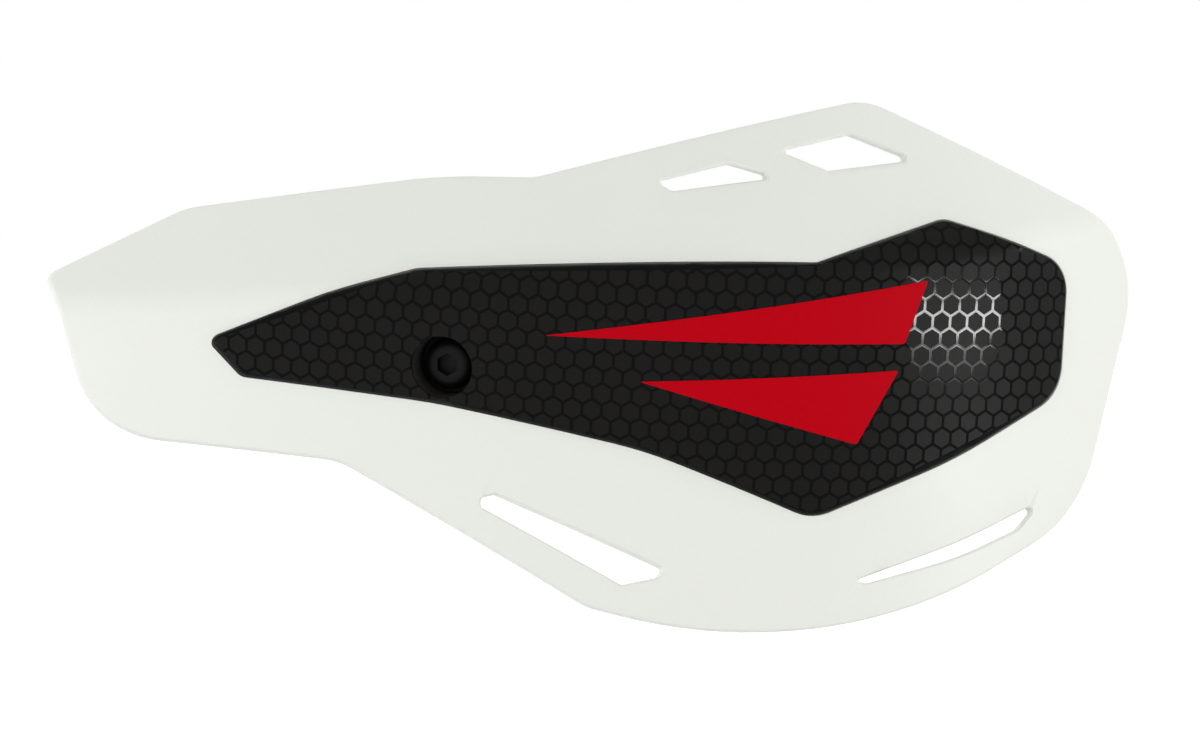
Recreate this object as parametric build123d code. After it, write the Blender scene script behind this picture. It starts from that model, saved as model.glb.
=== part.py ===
from build123d import *
import math
import os

# Left-hand guard for a motorcycle handlebar, seen from the front: +X outwards along the bar,
# +Y rearwards along the fixing screw, +Z up. The origin is the middle of the boss's rear face.

# Sweep of the shield in plan, three arcs that meet tangentially about leaning axes
inner_radius = 450.0
middle_radius = 200.0
middle_length = 52.0
outer_radius = 116.0
lean_inwards = 4.3
lean_forwards = 1.45

# Section of the shield, a lower wall and a roof that meet in a rounded crease
crease_height = 15.3
crease_radius = 9.0
lower_angle = 3.0
roof_angle = 38.0

# Shell
wall = 3.0
front_depth = 13.0
draw_azimuth = 28.0
draw_elevation = 14.0
rim_round = 0.9
rear_edge = 0.6
window_edge = 0.5

# Centre panel and its seat
seat_depth = 1.2
panel_proud = 0.9
panel_edge = 0.7
seat_gap = 0.15

# Screw cup, boss and ribs
cup_bore = 12.6
cup_wall = 1.5
cup_floor = 2.2
cup_gap = 0.15
boss_diameter = 24.0
boss_floor = 3.0
screw_hole = 6.6
rib_thickness = 2.2
rib_reach = 20.0

# Fixing screw and washer
thread_diameter = 5.35
shank_proud = 0.3
shank_diameter = 6.0
free_length = 14.0
tip_chamfer = 1.0
head_diameter = 10.5
head_height = 3.3
head_bevel = 1.9
socket_across = 4.0
socket_depth = 2.0
washer_diameter = 12.0
washer_bore = 6.4
washer_thickness = 1.6

# Outline corners in the mould's own plane, each with its rounding radius
shell_corners = [
    (-78.4, 23.5, 2.4),
    (-50.9, 34.9, 14.0),
    (-3.5, 36.6, 90.0),
    (14.3, 34.6, 8.0),
    (82.0, 47.9, 12.0),
    (141.8, 16.9, 19.0),
    (125.4, -37.2, 30.0),
    (67.5, -66.9, 100.0),
    (21.8, -51.8, 12.0),
    (-24.6, -19.3, 15.0),
    (-70.1, -9.3, 21.0),
]
panel_corners = [
    (-49.6, 6.8, 1.5),
    (-26.4, 14.0, 90.0),
    (-10.4, 17.1, 8.0),
    (65.6, 12.9, 4.0),
    (93.7, 21.7, 5.0),
    (121.7, 12.4, 7.0),
    (120.1, -13.0, 10.0),
    (95.2, -26.2, 120.0),
    (65.2, -37.0, 9.0),
    (32.1, -21.9, 100.0),
    (-7.9, -9.5, 120.0),
    (-43.2, -1.1, 3.0),
]
inner_vent_corners = [
    (36.8, 31.9, 0.8),
    (51.9, 35.0, 1.2),
    (59.3, 32.1, 0.7),
    (57.9, 31.1, 0.7),
    (39.8, 29.6, 1.2),
]
outer_vent_corners = [
    (62.0, 37.1, 0.7),
    (77.5, 40.4, 1.2),
    (89.0, 35.2, 0.7),
    (86.8, 34.1, 0.7),
    (71.4, 32.5, 1.2),
]
lower_slot_corners = [
    (1.3, -28.9, 1.0),
    (4.2, -28.4, 1.6),
    (36.3, -45.3, 0.8),
    (35.0, -46.9, 0.8),
    (28.1, -47.9, 1.0),
    (1.5, -30.8, 0.8),
]
lower_vent_corners = [
    (74.3, -49.5, 0.3),
    (97.2, -42.4, 120.0),
    (115.6, -34.5, 0.7),
    (110.4, -40.0, 2.0),
    (97.1, -45.4, 90.0),
    (77.0, -50.0, 0.5),
]

os.makedirs("parts", exist_ok=True)


# How far the outline reaches from the screw, which the sweep and the section have to cover
reach = max(math.hypot(across, height) for across, height, rounding in shell_corners)

# The sweep's own frame: along the bar, rearwards, and up its leaning axes
lean, nod = math.radians(lean_inwards), math.radians(lean_forwards)
sweep = Plane(
    origin=(0, -front_depth, 0),
    x_dir=(1, 0, math.tan(lean)),
    z_dir=(-math.tan(lean), -math.tan(nod), 1),
)
section_plane = Plane(origin=sweep.origin, x_dir=sweep.y_dir, z_dir=sweep.x_dir)


# All that lies behind the shield's face in section, inset by a given depth
def section(inset):
    low, high = math.radians(lower_angle), math.radians(roof_angle)
    into_wall = Vector(math.cos(low), math.sin(low))
    into_roof = Vector(math.cos(high), -math.sin(high))
    corner = Vector(-crease_height * math.tan(low), crease_height)
    corner += (into_wall + into_roof) * (inset / (1 + into_wall.dot(into_roof)))
    foot = corner + Vector(math.sin(low), -math.cos(low)) * reach
    top = corner + Vector(math.sin(high), math.cos(high)) * reach
    face_line = FilletPolyline(foot, corner, top, radius=crease_radius - inset)
    back = outer_radius - wall
    back_line = Polyline(top, (back, top.Y), (back, foot.Y), foot)
    return make_face(face_line + back_line)


# The same in the round: the section turned about the axis of each arc in plan
def behind(inset):
    flat = section_plane * section(inset)
    bend = middle_length / middle_radius
    step = middle_radius - outer_radius
    inner_axis = Axis(sweep.from_local_coords((0, inner_radius, 0)), sweep.z_dir)
    middle_axis = Axis(sweep.from_local_coords((0, middle_radius, 0)), sweep.z_dir)
    outer_centre = (step * math.sin(bend), middle_radius - step * math.cos(bend), 0)
    outer_axis = Axis(sweep.from_local_coords(outer_centre), sweep.z_dir)
    body = revolve(flat, inner_axis, -math.degrees(reach / inner_radius))
    body += revolve(flat, middle_axis, math.degrees(bend))
    turned = flat.rotate(middle_axis, math.degrees(bend))
    return body + revolve(turned, outer_axis, math.degrees(reach / outer_radius))


# The mould opens along the shield's mean facing, and every outline is cut that way
turn, rise = math.radians(draw_azimuth), math.radians(draw_elevation)
mould = Plane(
    origin=(0, 0, 0),
    x_dir=(math.cos(turn), math.sin(turn), 0),
    z_dir=(math.sin(turn) * math.cos(rise), -math.cos(turn) * math.cos(rise), math.sin(rise)),
)


def outline(corners, grow=0.0):
    edge = FilletPolyline([c[:2] for c in corners], radius=[c[2] for c in corners], close=True)
    flat = make_face(edge)
    if grow:
        flat = offset(flat, grow)
    return flat


def column(corners, grow=0.0):
    return extrude(mould * outline(corners, grow), amount=reach, both=True)


# A round bar along the screw, between two depths
def bar(diameter, start, end):
    base = Plane(origin=(0, start, 0), x_dir=(1, 0, 0), z_dir=(0, 1, 0))
    return extrude(base * Circle(diameter / 2), amount=end - start)


outer_body = behind(0)
seat_body = behind(seat_depth)
panel_body = behind(-panel_proud)

# A face looks along the mould when its middle leans from it by less than this
most_lean = 66.0


# The free edges of the faces that look along the mould, one way or the other
def rim(body, way):
    least = math.cos(math.radians(most_lean))
    faces = [f for f in body.faces() if f.normal_at().dot(mould.z_dir) * way > least]
    edges = [edge for face in faces for edge in face.edges()]
    return [edge for edge in edges if sum(edge.is_same(other) for other in edges) == 1]


# Shell: a wall of even thickness trimmed to its outline, round in front and chamfered behind
shell = (outer_body & column(shell_corners)) - behind(wall)
shell = fillet(rim(shell, 1), rim_round)
shell = chamfer(rim(shell, -1), rear_edge)

# Four windows, their front edges broken
for corners in (inner_vent_corners, outer_vent_corners, lower_slot_corners, lower_vent_corners):
    had = rim(shell, 1)
    shell -= column(corners)
    cut = [edge for edge in rim(shell, 1) if not any(edge.is_same(other) for other in had)]
    shell = chamfer(cut, window_edge)

# Boss behind the screw cup, with four ribs that run out into the wall
boss_radius = boss_diameter / 2
rib_end = boss_radius + rib_reach
rib = make_face(
    Polyline(
        (-rib_end, -front_depth),
        (rib_end, -front_depth),
        (boss_radius, -boss_floor),
        (-boss_radius, -boss_floor),
        close=True,
    )
)
level_rib = extrude(rib, amount=rib_thickness / 2, both=True)
boss = bar(boss_diameter, -front_depth, 0) + level_rib + Rotation(0, 90, 0) * level_rib
shell += boss & behind(wall / 2)

# Seat for the panel, pocket for its cup, and the screw hole
shell -= column(panel_corners, seat_gap) - seat_body
cup_diameter = cup_bore + 2 * cup_wall
pocket = bar(cup_diameter + 2 * cup_gap, -2 * front_depth, -boss_floor)
shell -= pocket & column(panel_corners, seat_gap)
shell -= bar(screw_hole, -2 * front_depth, front_depth)
export_step(shell, "parts/guard_shell.step")

# Centre panel: a plate with a rounded rim, and the cup that drops into the boss
panel_column = column(panel_corners)
panel = (panel_body & panel_column) - seat_body
panel = chamfer(rim(panel, 1), panel_edge)
cup = bar(cup_diameter, -2 * front_depth, -boss_floor) & panel_column & seat_body
panel += cup
cup_seat = -boss_floor - cup_floor
panel -= bar(cup_bore, -2 * front_depth, cup_seat)
panel -= bar(screw_hole, -2 * front_depth, front_depth)
export_step(panel, "parts/centre_panel.step")

# Washer on the floor of the cup
washer_top = cup_seat - washer_thickness
washer = bar(washer_diameter, washer_top, cup_seat) - bar(washer_bore, washer_top, cup_seat)
export_step(washer, "parts/screw_washer.step")

# Button-head screw: bevelled head with a hexagon socket, plain shank and threaded free end
head_top = washer_top - head_height
button = bar(head_diameter, head_top, washer_top)
button = chamfer(button.edges().sort_by(Axis.Y)[0], head_bevel)
socket_plane = Plane(origin=(0, head_top, 0), x_dir=(1, 0, 0), z_dir=(0, 1, 0))
socket = RegularPolygon(socket_across / 2, 6, major_radius=False)
button -= extrude(socket_plane * socket, amount=socket_depth)
free_end = bar(thread_diameter, shank_proud, free_length)
free_end = chamfer(free_end.edges().sort_by(Axis.Y)[-1], tip_chamfer)
screw = button + bar(shank_diameter, washer_top, shank_proud) + free_end
export_step(screw, "parts/fixing_screw.step")
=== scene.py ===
import math
import bpy
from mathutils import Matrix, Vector


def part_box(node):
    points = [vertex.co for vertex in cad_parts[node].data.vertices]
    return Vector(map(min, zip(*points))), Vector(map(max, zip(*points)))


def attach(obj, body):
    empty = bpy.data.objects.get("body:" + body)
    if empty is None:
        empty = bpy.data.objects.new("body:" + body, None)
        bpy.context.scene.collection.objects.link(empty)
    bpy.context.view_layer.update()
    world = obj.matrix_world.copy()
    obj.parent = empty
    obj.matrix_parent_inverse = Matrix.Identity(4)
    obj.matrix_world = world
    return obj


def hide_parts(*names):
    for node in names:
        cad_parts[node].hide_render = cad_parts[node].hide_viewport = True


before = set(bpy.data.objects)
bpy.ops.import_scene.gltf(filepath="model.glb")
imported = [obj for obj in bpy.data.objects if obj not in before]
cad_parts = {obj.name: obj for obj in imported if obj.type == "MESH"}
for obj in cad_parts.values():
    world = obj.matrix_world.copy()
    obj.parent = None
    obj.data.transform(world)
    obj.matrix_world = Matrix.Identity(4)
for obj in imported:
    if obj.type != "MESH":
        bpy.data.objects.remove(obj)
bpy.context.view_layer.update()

# Shield: the injection-moulded white polypropylene guard that takes the wind and the stones.
# It comes out of the tool in one piece, boss and ribs included, with a fine satin grain.
mm = 0.001
seam_gap = 0.002 * mm


def pick(piece):
    bpy.ops.object.select_all(action="DESELECT")
    piece.select_set(True)
    bpy.context.view_layer.objects.active = piece


# A node's mesh as a new piece, its loose triangles merged
def copy_of_node(node, name):
    piece = bpy.data.objects.new(name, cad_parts[node].data.copy())
    piece.data.name = name
    piece.data.materials.clear()
    bpy.context.scene.collection.objects.link(piece)
    pick(piece)
    bpy.ops.object.mode_set(mode="EDIT")
    bpy.ops.mesh.select_all(action="SELECT")
    bpy.ops.mesh.remove_doubles(threshold=seam_gap)
    bpy.ops.object.mode_set(mode="OBJECT")
    return piece


# Smooth across edges up to an angle in degrees, with the broad faces leading
def soft_shading(piece, angle):
    pick(piece)
    bpy.ops.mesh.customdata_custom_splitnormals_clear()
    bpy.ops.object.shade_smooth_by_angle(angle=math.radians(angle))
    weights = piece.modifiers.new("weights", "WEIGHTED_NORMAL")
    weights.mode = "FACE_AREA"
    weights.weight = 60
    weights.keep_sharp = True
    bpy.ops.object.modifier_apply(modifier="weights")


shield = copy_of_node("guard_shell", "shield")
soft_shading(shield, angle=50)

# Moulded surface: fine tool grain in the height, slow patches in roughness and tone
grain = bpy.data.node_groups.new("moulded_grain", "ShaderNodeTree")
for way, socket, kind in (
    ("INPUT", "Grain size", "NodeSocketFloat"),
    ("INPUT", "Tone", "NodeSocketColor"),
    ("INPUT", "Worn tone", "NodeSocketColor"),
    ("INPUT", "Least roughness", "NodeSocketFloat"),
    ("INPUT", "Most roughness", "NodeSocketFloat"),
    ("OUTPUT", "Color", "NodeSocketColor"),
    ("OUTPUT", "Roughness", "NodeSocketFloat"),
    ("OUTPUT", "Height", "NodeSocketFloat"),
):
    grain.interface.new_socket(socket, in_out=way, socket_type=kind)
given = grain.nodes.new("NodeGroupInput")
made = grain.nodes.new("NodeGroupOutput")
place = grain.nodes.new("ShaderNodeTexCoord")
speckle = grain.nodes.new("ShaderNodeTexNoise")
speckle.inputs["Detail"].default_value = 3
grain.links.new(place.outputs["Object"], speckle.inputs["Vector"])
grain.links.new(given.outputs["Grain size"], speckle.inputs["Scale"])
patches = grain.nodes.new("ShaderNodeTexNoise")
patches.inputs["Scale"].default_value = 38
patches.inputs["Detail"].default_value = 5
grain.links.new(place.outputs["Object"], patches.inputs["Vector"])
polish = grain.nodes.new("ShaderNodeMapRange")
polish.inputs["From Min"].default_value = 0.3
polish.inputs["From Max"].default_value = 0.7
grain.links.new(patches.outputs["Fac"], polish.inputs["Value"])
grain.links.new(given.outputs["Least roughness"], polish.inputs["To Min"])
grain.links.new(given.outputs["Most roughness"], polish.inputs["To Max"])
both = grain.nodes.new("ShaderNodeMath")
both.operation = "MULTIPLY"
grain.links.new(speckle.outputs["Fac"], both.inputs[0])
grain.links.new(patches.outputs["Fac"], both.inputs[1])
tint = grain.nodes.new("ShaderNodeMix")
tint.data_type = "RGBA"
grain.links.new(both.outputs["Value"], tint.inputs["Factor"])
grain.links.new(given.outputs["Tone"], tint.inputs["A"])
grain.links.new(given.outputs["Worn tone"], tint.inputs["B"])
grain.links.new(tint.outputs["Result"], made.inputs["Color"])
grain.links.new(polish.outputs["Result"], made.inputs["Roughness"])
grain.links.new(speckle.outputs["Fac"], made.inputs["Height"])


def moulded_plastic(name, tone, worn_tone, roughness, grain_size, grain_depth, shine=0.5):
    material = bpy.data.materials.new(name)
    material.use_nodes = True
    nodes, links = material.node_tree.nodes, material.node_tree.links
    surface = nodes["Principled BSDF"]
    surface.inputs["IOR"].default_value = 1.49
    surface.inputs["Specular IOR Level"].default_value = shine
    moulding = nodes.new("ShaderNodeGroup")
    moulding.node_tree = grain
    moulding.inputs["Grain size"].default_value = grain_size
    moulding.inputs["Tone"].default_value = (*tone, 1)
    moulding.inputs["Worn tone"].default_value = (*worn_tone, 1)
    moulding.inputs["Least roughness"].default_value = roughness[0]
    moulding.inputs["Most roughness"].default_value = roughness[1]
    bump = nodes.new("ShaderNodeBump")
    bump.inputs["Strength"].default_value = 1.0
    bump.inputs["Distance"].default_value = grain_depth
    links.new(moulding.outputs["Color"], surface.inputs["Base Color"])
    links.new(moulding.outputs["Roughness"], surface.inputs["Roughness"])
    links.new(moulding.outputs["Height"], bump.inputs["Height"])
    links.new(bump.outputs["Normal"], surface.inputs["Normal"])
    return material


white_plastic = moulded_plastic(
    "white_polypropylene",
    tone=(0.80, 0.815, 0.765),
    worn_tone=(0.765, 0.78, 0.725),
    roughness=(0.36, 0.46),
    grain_size=1400,
    grain_depth=0.006 * mm,
)
shield.data.materials.append(white_plastic)
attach(shield, "root")
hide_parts("guard_shell")


# Centre panel: a gloss black moulding that lies in a shallow seat on the shield, a little proud.
# Its cup drops through the shield into the boss and takes the fixing screw.
front_depth, panel_proud = 13 * mm, 0.9 * mm
wall_angle, lean_forwards = math.radians(3), math.radians(1.45)
cup_radius, cup_lip = 6.3 * mm, 0.45 * mm
cutter_reach = 1 * mm
tolerance = 0.01 * mm
panel = copy_of_node("centre_panel", "panel")


# One piece cut by another, cut down to it or joined to it, which uses the other up
def combine(piece, other, operation):
    pick(piece)
    step = piece.modifiers.new("combine", "BOOLEAN")
    step.operation = operation
    step.object = other
    step.solver = "EXACT"
    bpy.ops.object.modifier_apply(modifier="combine")
    bpy.data.objects.remove(other)


# The cup's mouth has its edge broken square to the panel's face
bpy.ops.object.select_all(action="DESELECT")
bpy.ops.mesh.primitive_cone_add(
    vertices=96,
    radius1=cup_radius + cup_lip - cutter_reach,
    radius2=cup_radius + cup_lip + cutter_reach,
    depth=2 * cutter_reach,
    location=(0, -front_depth - panel_proud, 0),
    rotation=(math.pi / 2 + wall_angle + lean_forwards, 0, 0),
)
countersink = bpy.context.object
bpy.ops.object.transform_apply(location=True, rotation=True, scale=True)
combine(panel, countersink, "DIFFERENCE")
soft_shading(panel, angle=50)

# Gloss outside, and satin inside the cup, in a lighter black that is painted light on the cup's
# walls
gloss_black = moulded_plastic(
    "gloss_black",
    tone=(0.0012, 0.0011, 0.0011),
    worn_tone=(0.0020, 0.0019, 0.0019),
    roughness=(0.03, 0.05),
    grain_size=900,
    grain_depth=0.0004 * mm,
    shine=0.08,
)
# Satin finish, its black lighter than the panel's so that the cup's walls look lit: painted light
satin_black_and_painted_light = moulded_plastic(
    "satin_black_and_painted_light",
    tone=(0.022, 0.0207, 0.0196),
    worn_tone=(0.029, 0.0273, 0.0258),
    roughness=(0.4, 0.5),
    grain_size=2600,
    grain_depth=0.002 * mm,
    shine=0.2,
)
panel.data.materials.append(gloss_black)
panel.data.materials.append(satin_black_and_painted_light)
# Faces in the cup take the lighter black, which paints light on them
for face in panel.data.polygons:
    in_cup = math.hypot(face.center.x, face.center.z) < cup_radius + tolerance
    face.material_index = 1 if in_cup else 0
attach(panel, "root")
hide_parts("centre_panel")


# Honeycomb: the moulded relief over the panel's face, glossy ridges round matte hollow cells.
# It is laid out flat, cut to the panel, and then bent round the shield with it.
inner_radius, middle_radius, outer_radius = 450 * mm, 200 * mm, 116 * mm
middle_length = 52 * mm
lean_inwards, roof_angle = math.radians(4.3), math.radians(38)
crease_height, crease_radius = 15.3 * mm, 9 * mm
crease_arc = crease_radius * (wall_angle + roof_angle)

up = Vector((-math.tan(lean_inwards), -math.tan(lean_forwards), 1)).normalized()
along_bar = Vector((1, 0, math.tan(lean_inwards))).normalized()
rearwards = up.cross(along_bar)
sweep_start = Vector((0, -front_depth, 0))
bend = middle_length / middle_radius
tighter = middle_radius - outer_radius
outer_centre = Vector((tighter * math.sin(bend), middle_radius - tighter * math.cos(bend)))
into_wall = Vector((math.cos(wall_angle), math.sin(wall_angle)))
into_roof = Vector((math.cos(roof_angle), -math.sin(roof_angle)))
crease_centre = Vector((-crease_height * math.tan(wall_angle), crease_height))
crease_centre += (into_wall + into_roof) * (crease_radius / (1 + into_wall.dot(into_roof)))


# Flat place on the shield's face, along and up, and the height above it, of a point in space
def unrolled(point):
    offset = point - sweep_start
    x, y, rise = offset.dot(along_bar), offset.dot(rearwards), offset.dot(up)
    if x < 0:
        along = inner_radius * math.atan2(x, inner_radius - y)
        depth = inner_radius - math.hypot(x, inner_radius - y)
    elif math.atan2(x, middle_radius - y) < bend:
        along = middle_radius * math.atan2(x, middle_radius - y)
        depth = middle_radius - math.hypot(x, middle_radius - y)
    else:
        turn = math.atan2(x - outer_centre.x, outer_centre.y - y)
        along = middle_length + outer_radius * (turn - bend)
        depth = outer_radius - math.hypot(x - outer_centre.x, outer_centre.y - y)
    spoke = Vector((depth, rise)) - crease_centre
    angle = math.atan2(spoke.y, -spoke.x)
    if angle < -wall_angle:
        climb = spoke.dot(Vector((-math.sin(wall_angle), math.cos(wall_angle))))
        return Vector((along, climb, -crease_radius - spoke.dot(into_wall)))
    if angle > roof_angle:
        climb = crease_arc + spoke.dot(Vector((math.sin(roof_angle), math.cos(roof_angle))))
        return Vector((along, climb, -crease_radius - spoke.dot(into_roof)))
    return Vector((along, crease_radius * (angle + wall_angle), spoke.length - crease_radius))


# And back: a flat point bent round the shield
def rolled(flat):
    along, climb, height = flat
    angle = min(max(climb / crease_radius - wall_angle, -wall_angle), roof_angle)
    rest = climb - crease_radius * (angle + wall_angle)
    spoke = Vector((-math.cos(angle), math.sin(angle))) * (crease_radius + height)
    spoke += Vector((math.sin(angle), math.cos(angle))) * rest
    depth, rise = crease_centre + spoke
    if along < 0:
        turn, centre, radius = along / inner_radius, Vector((0, inner_radius)), inner_radius
    elif along < middle_length:
        turn, centre, radius = along / middle_radius, Vector((0, middle_radius)), middle_radius
    else:
        turn = bend + (along - middle_length) / outer_radius
        centre, radius = outer_centre, outer_radius
    x = centre.x + (radius - depth) * math.sin(turn)
    y = centre.y - (radius - depth) * math.cos(turn)
    return sweep_start + along_bar * x + rearwards * y + up * rise


# Edit mode, with only those vertices or faces selected that pass a test
def select_where(piece, kind, test):
    bpy.ops.object.mode_set(mode="EDIT")
    bpy.ops.mesh.select_mode(type=kind)
    bpy.ops.mesh.select_all(action="DESELECT")
    bpy.ops.object.mode_set(mode="OBJECT")
    for part in {"VERT": piece.data.vertices, "FACE": piece.data.polygons}[kind]:
        part.select = test(part)
    bpy.ops.object.mode_set(mode="EDIT")


# The field: the flat of the panel's face inside its edge, as a slab to cut with
field_margin, slab_depth = 0.55 * mm, 4 * mm
field = copy_of_node("centre_panel", "field")
for vertex in field.data.vertices:
    vertex.co = unrolled(vertex.co)
select_where(field, "VERT", lambda v: v.co.z < panel_proud - tolerance)
bpy.ops.mesh.delete(type="VERT")
bpy.ops.mesh.select_all(action="SELECT")
bpy.ops.transform.resize(value=(1, 1, 0), center_override=(0, 0, 0))
bpy.ops.mesh.dissolve_limited(angle_limit=math.radians(5))
bpy.ops.mesh.select_all(action="SELECT")
bpy.ops.mesh.inset(thickness=field_margin, use_even_offset=True)
bpy.ops.mesh.select_all(action="INVERT")
bpy.ops.mesh.delete(type="FACE")
bpy.ops.mesh.select_all(action="SELECT")
bpy.ops.mesh.normals_make_consistent(inside=False)
bpy.ops.mesh.extrude_region_move(TRANSFORM_OT_translate={"value": (0, 0, slab_depth)})
bpy.ops.mesh.select_all(action="SELECT")
bpy.ops.mesh.normals_make_consistent(inside=False)
bpy.ops.transform.translate(value=(0, 0, -slab_depth / 2))
bpy.ops.object.mode_set(mode="OBJECT")


def just_added(name):
    piece = bpy.context.object
    piece.name = name
    piece.data.name = name
    return piece


# One cell: a hexagon, its ridge, a sloped flank and the matte floor
pitch = 3.9 * mm
half_ridge, flank = 0.28 * mm, 0.02 * mm
ridge_height, floor_height, comb_back = 0.12 * mm, 0.08 * mm, 0.15 * mm
bpy.ops.object.select_all(action="DESELECT")
bpy.ops.mesh.primitive_circle_add(vertices=6, radius=pitch / math.sqrt(3), fill_type="NGON")
comb = just_added("honeycomb")
bpy.ops.object.mode_set(mode="EDIT")
bpy.ops.mesh.select_all(action="SELECT")
bpy.ops.mesh.inset(thickness=half_ridge)
bpy.ops.mesh.inset(thickness=flank, depth=floor_height - ridge_height)
bpy.ops.object.mode_set(mode="OBJECT")
matte_black = moulded_plastic(
    "matte_black",
    tone=(0.0065, 0.0060, 0.0056),
    worn_tone=(0.0092, 0.0086, 0.0080),
    roughness=(0.28, 0.36),
    grain_size=2600,
    grain_depth=0.002 * mm,
    shine=0.09,
)
comb.data.materials.append(gloss_black)
comb.data.materials.append(matte_black)
for face in comb.data.polygons:
    face.material_index = 1 if face.center.z < -tolerance else 0

# The cells repeated in rows over the whole field, then turned to run with the panel
columns, rows = 66, 30
middle_column, middle_row = 24, 15
middle_cell = Vector((19.8 * mm, -7.2 * mm, 0))
row_fall = math.radians(7.5)
next_cell = Vector((pitch, 0, 0))
next_row = Vector((pitch / 2, pitch * math.sqrt(3) / 2, 0))
for name, count, step in (("row", columns, next_cell), ("rows", rows, next_row)):
    repeat = comb.modifiers.new(name, "ARRAY")
    repeat.count = count
    repeat.use_relative_offset = False
    repeat.use_constant_offset = True
    repeat.constant_offset_displace = step
    repeat.use_merge_vertices = True
    repeat.merge_threshold = tolerance
    bpy.ops.object.modifier_apply(modifier=name)
bpy.ops.object.mode_set(mode="EDIT")
bpy.ops.mesh.select_all(action="SELECT")
bpy.ops.transform.translate(value=-next_cell * middle_column - next_row * middle_row)
bpy.ops.transform.rotate(value=row_fall, orient_axis="Z", center_override=(0, 0, 0))
bpy.ops.transform.translate(value=middle_cell)

# Cells well outside the field are dropped, and the rest get their thickness
spare = 2 * pitch
low = Vector([min(v.co[i] for v in field.data.vertices) - spare for i in range(2)])
high = Vector([max(v.co[i] for v in field.data.vertices) + spare for i in range(2)])
select_where(
    comb,
    "FACE",
    lambda f: not (low.x < f.center.x < high.x and low.y < f.center.y < high.y),
)
bpy.ops.mesh.delete(type="FACE")
bpy.ops.mesh.select_all(action="SELECT")
to_back = (0, 0, -comb_back - ridge_height)
bpy.ops.mesh.extrude_region_move(TRANSFORM_OT_translate={"value": to_back})
bpy.ops.mesh.select_all(action="SELECT")
bpy.ops.transform.translate(value=(0, 0, ridge_height))
bpy.ops.mesh.normals_make_consistent(inside=False)
bpy.ops.object.mode_set(mode="OBJECT")

# Cut to the field, parted across the crease so that it can bend there, and bent
combine(comb, field, "INTERSECT")
bends = 9
for step in range(bends + 1):
    bpy.ops.object.mode_set(mode="EDIT")
    bpy.ops.mesh.select_all(action="SELECT")
    bpy.ops.mesh.bisect(plane_co=(0, crease_arc * step / bends, 0), plane_no=(0, 1, 0))
    bpy.ops.object.mode_set(mode="OBJECT")
for vertex in comb.data.vertices:
    vertex.co = rolled(vertex.co + Vector((0, 0, panel_proud)))
comb.data.update()
soft_shading(comb, angle=28)
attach(comb, "root")


# Flashes: two tapering wedges of red vinyl film stuck over the honeycomb.
# Each is cut flat with small round corners and pressed down along the curve of the panel.
film_thickness, film_corner = 0.14 * mm, 0.6 * mm
start_radius = 10 * mm
bend_step = 3 * mm
red_film = moulded_plastic(
    "red_vinyl",
    tone=(0.475, 0.0004, 0.0065),
    worn_tone=(0.44, 0.0004, 0.0060),
    roughness=(0.40, 0.50),
    grain_size=700,
    grain_depth=0.002 * mm,
    shine=0.04,
)

# Corners in mm: along the face from the screw, and up it from where the crease begins
for name, corners in (
    ("upper_flash", ((21.5, -6.4), (93.6, -14.6), (99.4, -2.4))),
    ("lower_flash", ((39.6, -17.0), (82.2, -33.8), (92.0, -19.8))),
):
    bpy.ops.object.select_all(action="DESELECT")
    bpy.ops.mesh.primitive_circle_add(vertices=3, radius=start_radius, fill_type="NGON")
    flash = just_added(name)
    for index, (along, climb) in enumerate(corners):
        select_where(flash, "VERT", lambda v: v.index == index)
        corner = flash.data.vertices[index].co
        bpy.ops.transform.translate(value=(along * mm - corner.x, climb * mm - corner.y, 0))
    bpy.ops.mesh.select_all(action="SELECT")
    bpy.ops.mesh.bevel(offset=film_corner, segments=4, affect="VERTICES")
    start = min(along for along, climb in corners) * mm
    end = max(along for along, climb in corners) * mm
    for step in range(1, int((end - start) / bend_step)):
        bpy.ops.mesh.select_all(action="SELECT")
        bpy.ops.mesh.bisect(plane_co=(start + step * bend_step, 0, 0), plane_no=(1, 0, 0))
    bpy.ops.mesh.select_all(action="SELECT")
    bpy.ops.mesh.extrude_region_move(TRANSFORM_OT_translate={"value": (0, 0, film_thickness)})
    bpy.ops.mesh.select_all(action="SELECT")
    bpy.ops.mesh.normals_make_consistent(inside=False)
    bpy.ops.object.mode_set(mode="OBJECT")
    for vertex in flash.data.vertices:
        vertex.co = rolled(vertex.co + Vector((0, 0, panel_proud + ridge_height)))
    flash.data.update()
    soft_shading(flash, angle=30)
    flash.data.materials.append(red_film)
    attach(flash, "root")


# Washer: a stamped M6 steel washer, black zinc plated and darkened by painted shade, on the cup's
# floor.
# Its edges are broken by the punch.
punch_round = 0.15 * mm
washer = copy_of_node("screw_washer", "washer")
edge_break = washer.modifiers.new("edge_break", "BEVEL")
edge_break.width = punch_round
edge_break.segments = 2
edge_break.limit_method = "ANGLE"
edge_break.angle_limit = math.radians(60)
bpy.ops.object.modifier_apply(modifier="edge_break")
soft_shading(washer, angle=40)


def plated_steel(name, **finish):
    material = moulded_plastic(name, **finish)
    material.node_tree.nodes["Principled BSDF"].inputs["Metallic"].default_value = 0.8
    return material


# Black zinc, its tone darker than the bare plating: painted shade for the deep cup it lies in
black_zinc_and_painted_shade = plated_steel(
    "black_zinc_and_painted_shade",
    tone=(0.006, 0.006, 0.0065),
    worn_tone=(0.013, 0.013, 0.0135),
    roughness=(0.42, 0.56),
    grain_size=1100,
    grain_depth=0.004 * mm,
)
washer.data.materials.append(black_zinc_and_painted_shade)
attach(washer, "root")
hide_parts("screw_washer")
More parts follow.
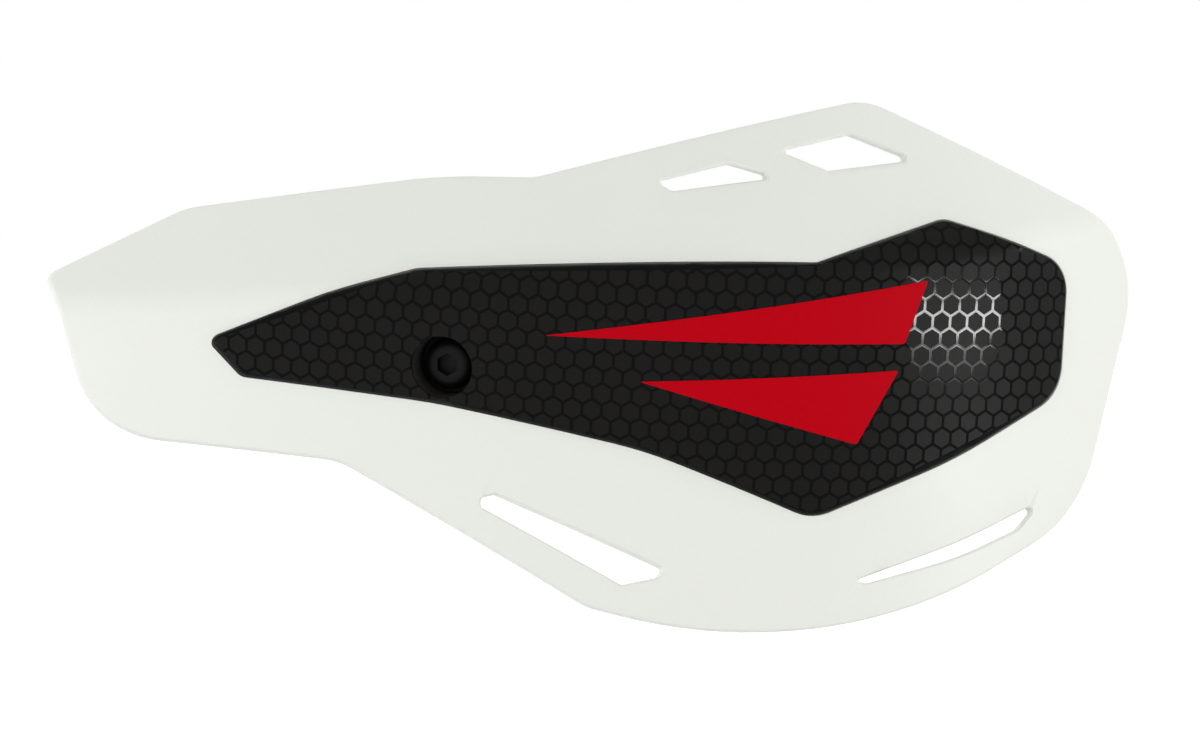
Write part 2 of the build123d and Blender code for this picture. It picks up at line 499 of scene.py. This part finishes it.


# Fixing screw: an M6 button-head screw in black oxide steel darkened by painted shade, with a
# hexagon socket.
# It is cold headed, and its thread is rolled; it goes through washer, cup and boss.
screw_low, screw_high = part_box("fixing_screw")
head_front, screw_tip = screw_low.y, screw_high.y
head_radius, head_height, dome_round = screw_high.x, 3.3 * mm, 2.2 * mm
head_back = head_front + head_height
socket_across, socket_depth = 4.0 * mm, 2.0 * mm
shank_radius, thread_radius, root_radius = 3.0 * mm, 2.97 * mm, 2.44 * mm
thread_start, thread_pitch, thread_overlap = 0.3 * mm, 1.0 * mm, 0.4 * mm
tip_chamfer = 0.8 * mm
facing = 0.9


# A bar along the screw between two depths
def bar(name, sides, radius, start, end):
    bpy.ops.object.select_all(action="DESELECT")
    bpy.ops.mesh.primitive_cylinder_add(
        vertices=sides,
        radius=radius,
        depth=end - start,
        location=(0, (start + end) / 2, 0),
        rotation=(math.pi / 2, 0, 0),
    )
    bpy.ops.object.transform_apply(location=True, rotation=True, scale=True)
    return just_added(name)


# Head: a drum whose front edge is rounded to a dome, with a hexagon sunk in it
screw = bar("screw", 64, head_radius, head_front, head_back)
select_where(screw, "FACE", lambda f: f.normal.y < -facing)
bpy.ops.mesh.bevel(offset=dome_round, segments=10, profile=0.5)
bpy.ops.object.mode_set(mode="OBJECT")
socket_radius = socket_across / math.sqrt(3)
key = bar("key", 6, socket_radius, head_front - socket_depth, head_front + socket_depth)
combine(screw, key, "DIFFERENCE")

# Shank: plain from the head to the thread
shank = bar("shank", 48, shank_radius, head_back, thread_start)

# Thread: a profile of radii and shares of the pitch, swept up a helix and cut square
turns, turns_before = 17, 2
weld, exact_cut = 0.005 * mm, 0.0001 * mm
profile = (
    (root_radius, 0.0),
    (root_radius, 0.125),
    (thread_radius, 0.4375),
    (thread_radius, 0.5625),
    (root_radius, 0.875),
    (root_radius, 1.0),
)
bpy.ops.object.select_all(action="DESELECT")
bpy.ops.mesh.primitive_circle_add(
    vertices=len(profile), radius=thread_pitch, fill_type="NOTHING"
)
thread = just_added("thread")
for index, (radius, share) in enumerate(profile):
    select_where(thread, "VERT", lambda v: v.index == index)
    spot = Vector((radius, thread_start + (share - turns_before) * thread_pitch, 0))
    bpy.ops.transform.translate(value=spot - thread.data.vertices[index].co)
select_where(thread, "VERT", lambda v: v.index in (0, len(profile) - 1))
bpy.ops.mesh.select_mode(type="EDGE")
bpy.ops.mesh.delete(type="EDGE")
bpy.ops.object.mode_set(mode="OBJECT")
helix = thread.modifiers.new("helix", "SCREW")
helix.axis = "Y"
helix.screw_offset = thread_pitch
helix.iterations = turns
helix.steps = 32
helix.render_steps = 32
helix.use_merge_vertices = True
helix.merge_threshold = weld
bpy.ops.object.modifier_apply(modifier="helix")
bpy.ops.object.mode_set(mode="EDIT")
bpy.ops.mesh.select_all(action="SELECT")
bpy.ops.mesh.remove_doubles(threshold=weld)
for cut_place, cut_way in ((thread_start - thread_overlap, -1), (screw_tip, 1)):
    bpy.ops.mesh.select_all(action="SELECT")
    bpy.ops.mesh.bisect(
        plane_co=(0, cut_place, 0),
        plane_no=(0, cut_way, 0),
        clear_outer=True,
        use_fill=True,
        threshold=exact_cut,
    )
bpy.ops.mesh.select_all(action="SELECT")
bpy.ops.mesh.normals_make_consistent(inside=False)
bpy.ops.object.mode_set(mode="OBJECT")

# Blank: a bar just wider than the thread, whose chamfered tip the thread takes on
blank_radius, blank_start = shank_radius + 0.05 * mm, thread_start - 1 * mm
blank = bar("blank", 48, blank_radius, blank_start, screw_tip)
select_where(blank, "FACE", lambda f: f.normal.y > facing)
bpy.ops.mesh.bevel(offset=tip_chamfer, segments=1)
bpy.ops.object.mode_set(mode="OBJECT")
combine(thread, blank, "INTERSECT")
combine(screw, shank, "UNION")
combine(screw, thread, "UNION")
bpy.ops.object.shade_smooth_by_angle(angle=math.radians(35))
# Black oxide, its tone darker than the bare finish: painted shade for the deep cup its head sits
# in
black_oxide_and_painted_shade = plated_steel(
    "black_oxide_and_painted_shade",
    tone=(0.005, 0.005, 0.0053),
    worn_tone=(0.011, 0.011, 0.0115),
    roughness=(0.4, 0.54),
    grain_size=1300,
    grain_depth=0.003 * mm,
)
screw.data.materials.clear()
screw.data.materials.append(black_oxide_and_painted_shade)
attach(screw, "root")
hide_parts("fixing_screw")


# Studio: a plain white room with a matte floor well below the guard, as a photographer sets it up.
# A soft box stands left in front and a small one right beside; two strips make the glint.
floor_size, floor_middle, floor_level = 5.0, 1.9, -0.6
floor_grey, floor_lift = 0.6, 0.75
bpy.ops.object.select_all(action="DESELECT")
bpy.ops.mesh.primitive_plane_add(size=floor_size, location=(0, floor_middle, floor_level))
ground = just_added("ground")
bpy.ops.object.transform_apply(location=True, rotation=True, scale=True)


# One for the rays that see the backdrop: those of the camera, and those mirrored or let through
def seeing_rays(nodes, links):
    ray = nodes.new("ShaderNodeLightPath")
    seen = ray.outputs["Is Camera Ray"]
    for way in ("Is Glossy Ray", "Is Transmission Ray"):
        more = nodes.new("ShaderNodeMath")
        more.operation = "MAXIMUM"
        links.new(seen, more.inputs[0])
        links.new(ray.outputs[way], more.inputs[1])
        seen = more.outputs["Value"]
    return seen


# Floor: grey paint that takes the shadow, lifted to white for those rays
white_floor = bpy.data.materials.new("white_floor")
white_floor.use_nodes = True
nodes, links = white_floor.node_tree.nodes, white_floor.node_tree.links
nodes.remove(nodes["Principled BSDF"])
paint = nodes.new("ShaderNodeBsdfDiffuse")
paint.inputs["Color"].default_value = (floor_grey, floor_grey, floor_grey, 1)
glow = nodes.new("ShaderNodeEmission")
lift = nodes.new("ShaderNodeMath")
lift.operation = "MULTIPLY"
lift.inputs[1].default_value = floor_lift
links.new(seeing_rays(nodes, links), lift.inputs[0])
links.new(lift.outputs["Value"], glow.inputs["Strength"])
both_lights = nodes.new("ShaderNodeAddShader")
links.new(paint.outputs["BSDF"], both_lights.inputs[0])
links.new(glow.outputs["Emission"], both_lights.inputs[1])
links.new(both_lights.outputs["Shader"], nodes["Material Output"].inputs["Surface"])
ground.data.materials.append(white_floor)

# Room: white to look at, and lit by a band just above the level, less from behind and below
room = bpy.data.worlds.new("studio")
bpy.context.scene.world = room
room.use_nodes = True
nodes, links = room.node_tree.nodes, room.node_tree.links
direction = nodes.new("ShaderNodeTexCoord")
axes = nodes.new("ShaderNodeSeparateXYZ")
links.new(direction.outputs["Generated"], axes.inputs["Vector"])
glow_sum = None
for axis, starts, full, strength in (
    ("Y", 0.1, 0.5, 0.3),
    ("Z", -0.36, -0.44, 1.4),
    ("Z", 0.02, 0.15, 1.91),
    ("Z", 0.45, 0.65, -1.5),
):
    zone = nodes.new("ShaderNodeMapRange")
    zone.inputs["From Min"].default_value = starts
    zone.inputs["From Max"].default_value = full
    zone.inputs["To Max"].default_value = strength
    links.new(axes.outputs[axis], zone.inputs["Value"])
    if glow_sum is None:
        glow_sum = zone.outputs["Result"]
        continue
    added = nodes.new("ShaderNodeMath")
    links.new(glow_sum, added.inputs[0])
    links.new(zone.outputs["Result"], added.inputs[1])
    glow_sum = added.outputs["Value"]
lighting = nodes["Background"]
lighting.inputs["Color"].default_value = (1, 1, 1, 1)
links.new(glow_sum, lighting.inputs["Strength"])
backdrop = nodes.new("ShaderNodeBackground")
backdrop.inputs["Color"].default_value = (1, 1, 1, 1)
choose = nodes.new("ShaderNodeMixShader")
links.new(seeing_rays(nodes, links), choose.inputs["Fac"])
links.new(lighting.outputs["Background"], choose.inputs[1])
links.new(backdrop.outputs["Background"], choose.inputs[2])
links.new(choose.outputs["Shader"], nodes["World Output"].inputs["Surface"])

# Lamps: bearing from the front, height above the level and roll in degrees, sizes in metres
aim = Vector((0.03, 0, 0))
for name, bearing, height, distance, width, tall, power, roll in (
    ("left_box", -58, -16, 1.5, 1.0, 0.8, 6.2, 0),
    ("side_box", 94, 1, 1.3, 0.41, 0.15, 1.1, 0),
    ("glint_strip", 73, -8.8, 1.2, 0.44, 0.013, 1.65, 4.3),
    ("faint_strip", 71, -9.5, 1.2, 0.36, 0.018, 0.3, 4.3),
):
    turn, rise = math.radians(bearing), math.radians(height)
    level = math.cos(rise)
    stand = Vector((math.sin(turn) * level, -math.cos(turn) * level, math.sin(rise)))
    lamp = bpy.data.lights.new(name, "AREA")
    lamp.shape = "RECTANGLE"
    lamp.size = width
    lamp.size_y = tall
    lamp.energy = power
    holder = bpy.data.objects.new(name, lamp)
    bpy.context.scene.collection.objects.link(holder)
    holder.location = aim + stand * distance
    holder.rotation_euler = (-stand).to_track_quat("-Z", "Y").to_euler()
    holder.rotation_euler.rotate_axis("Z", math.radians(roll))
    holder.visible_camera = False

# Camera: a long lens in front, a little to the right and above
eye = Vector((0.3638, -1.2492, 0.1802))
gaze = Vector((-0.2563, 0.9565, -0.1392))
lens = bpy.data.cameras.new("camera")
lens.sensor_width = 36
lens.lens = 195
camera = bpy.data.objects.new("camera", lens)
bpy.context.scene.collection.objects.link(camera)
camera.location = eye
camera.rotation_euler = gaze.to_track_quat("-Z", "Y").to_euler()
bpy.context.scene.camera = camera
bpy.context.scene.view_settings.view_transform = "Standard"
